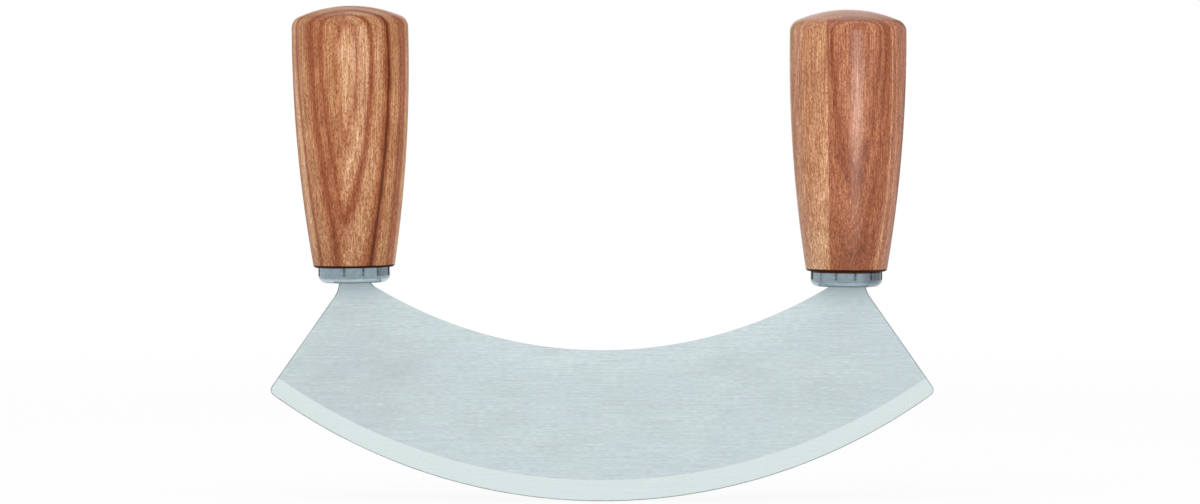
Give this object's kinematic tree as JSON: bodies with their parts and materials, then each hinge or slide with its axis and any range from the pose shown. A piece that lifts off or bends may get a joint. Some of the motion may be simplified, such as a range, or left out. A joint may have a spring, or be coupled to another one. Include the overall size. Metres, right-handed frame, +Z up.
{
  "type": "mezzaluna",
  "caption": "Curved rocking blade with a ground edge and an upright turned wooden handle on a steel collar at each end, for mincing herbs.",
  "frame": {"origin": "lowest point of the cutting edge, at the middle of the blade's length and thickness", "axes": "+X along the blade, +Y out of its back face, +Z up towards the handles"},
  "size_m": [0.2, 0.035, 0.1495],
  "materials": {
    "blade_steel": "fine lengthwise brushing, satin ground bevel",
    "collar_steel": "turned satin",
    "handle_wood": "oiled fruit wood with dark growth lines",
    "cured_resin": "cured clear amber"
  },
  "bodies": {
    "root": {"blade": "blade_steel", "left_collar": "collar_steel", "right_collar": "collar_steel", "left_handle": "handle_wood", "right_handle": "handle_wood", "left_tang_resin": "cured_resin", "right_tang_resin": "cured_resin"}
  },
  "joints": []
}
